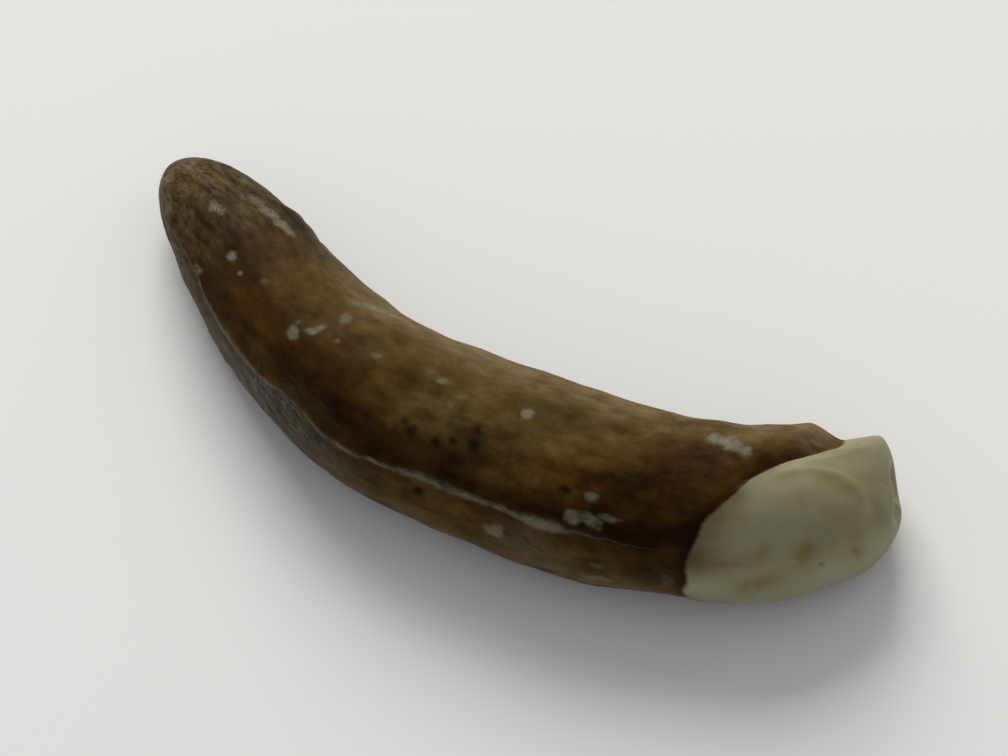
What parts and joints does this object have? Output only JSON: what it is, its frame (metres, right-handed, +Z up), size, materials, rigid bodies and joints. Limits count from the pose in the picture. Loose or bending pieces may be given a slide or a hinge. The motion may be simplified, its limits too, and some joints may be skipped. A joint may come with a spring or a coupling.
{
  "type": "kangaroo tooth",
  "caption": "Extracted kangaroo incisor lying on its side: a long curved brown root with a raised enamel band, and a short rounded enamel crown",
  "frame": {"origin": "middle of the bounding box in plan, on the plane that the tooth lies on", "axes": "+X runs along the tooth towards the crown, +Y towards the inside of its curve, +Z up from the side that it lies on"},
  "size_m": [0.0324, 0.0224, 0.007],
  "materials": {
    "tooth": "stained cementum on the root, satin enamel on the crown"
  },
  "bodies": {
    "root": {"tooth": "tooth"}
  },
  "joints": []
}
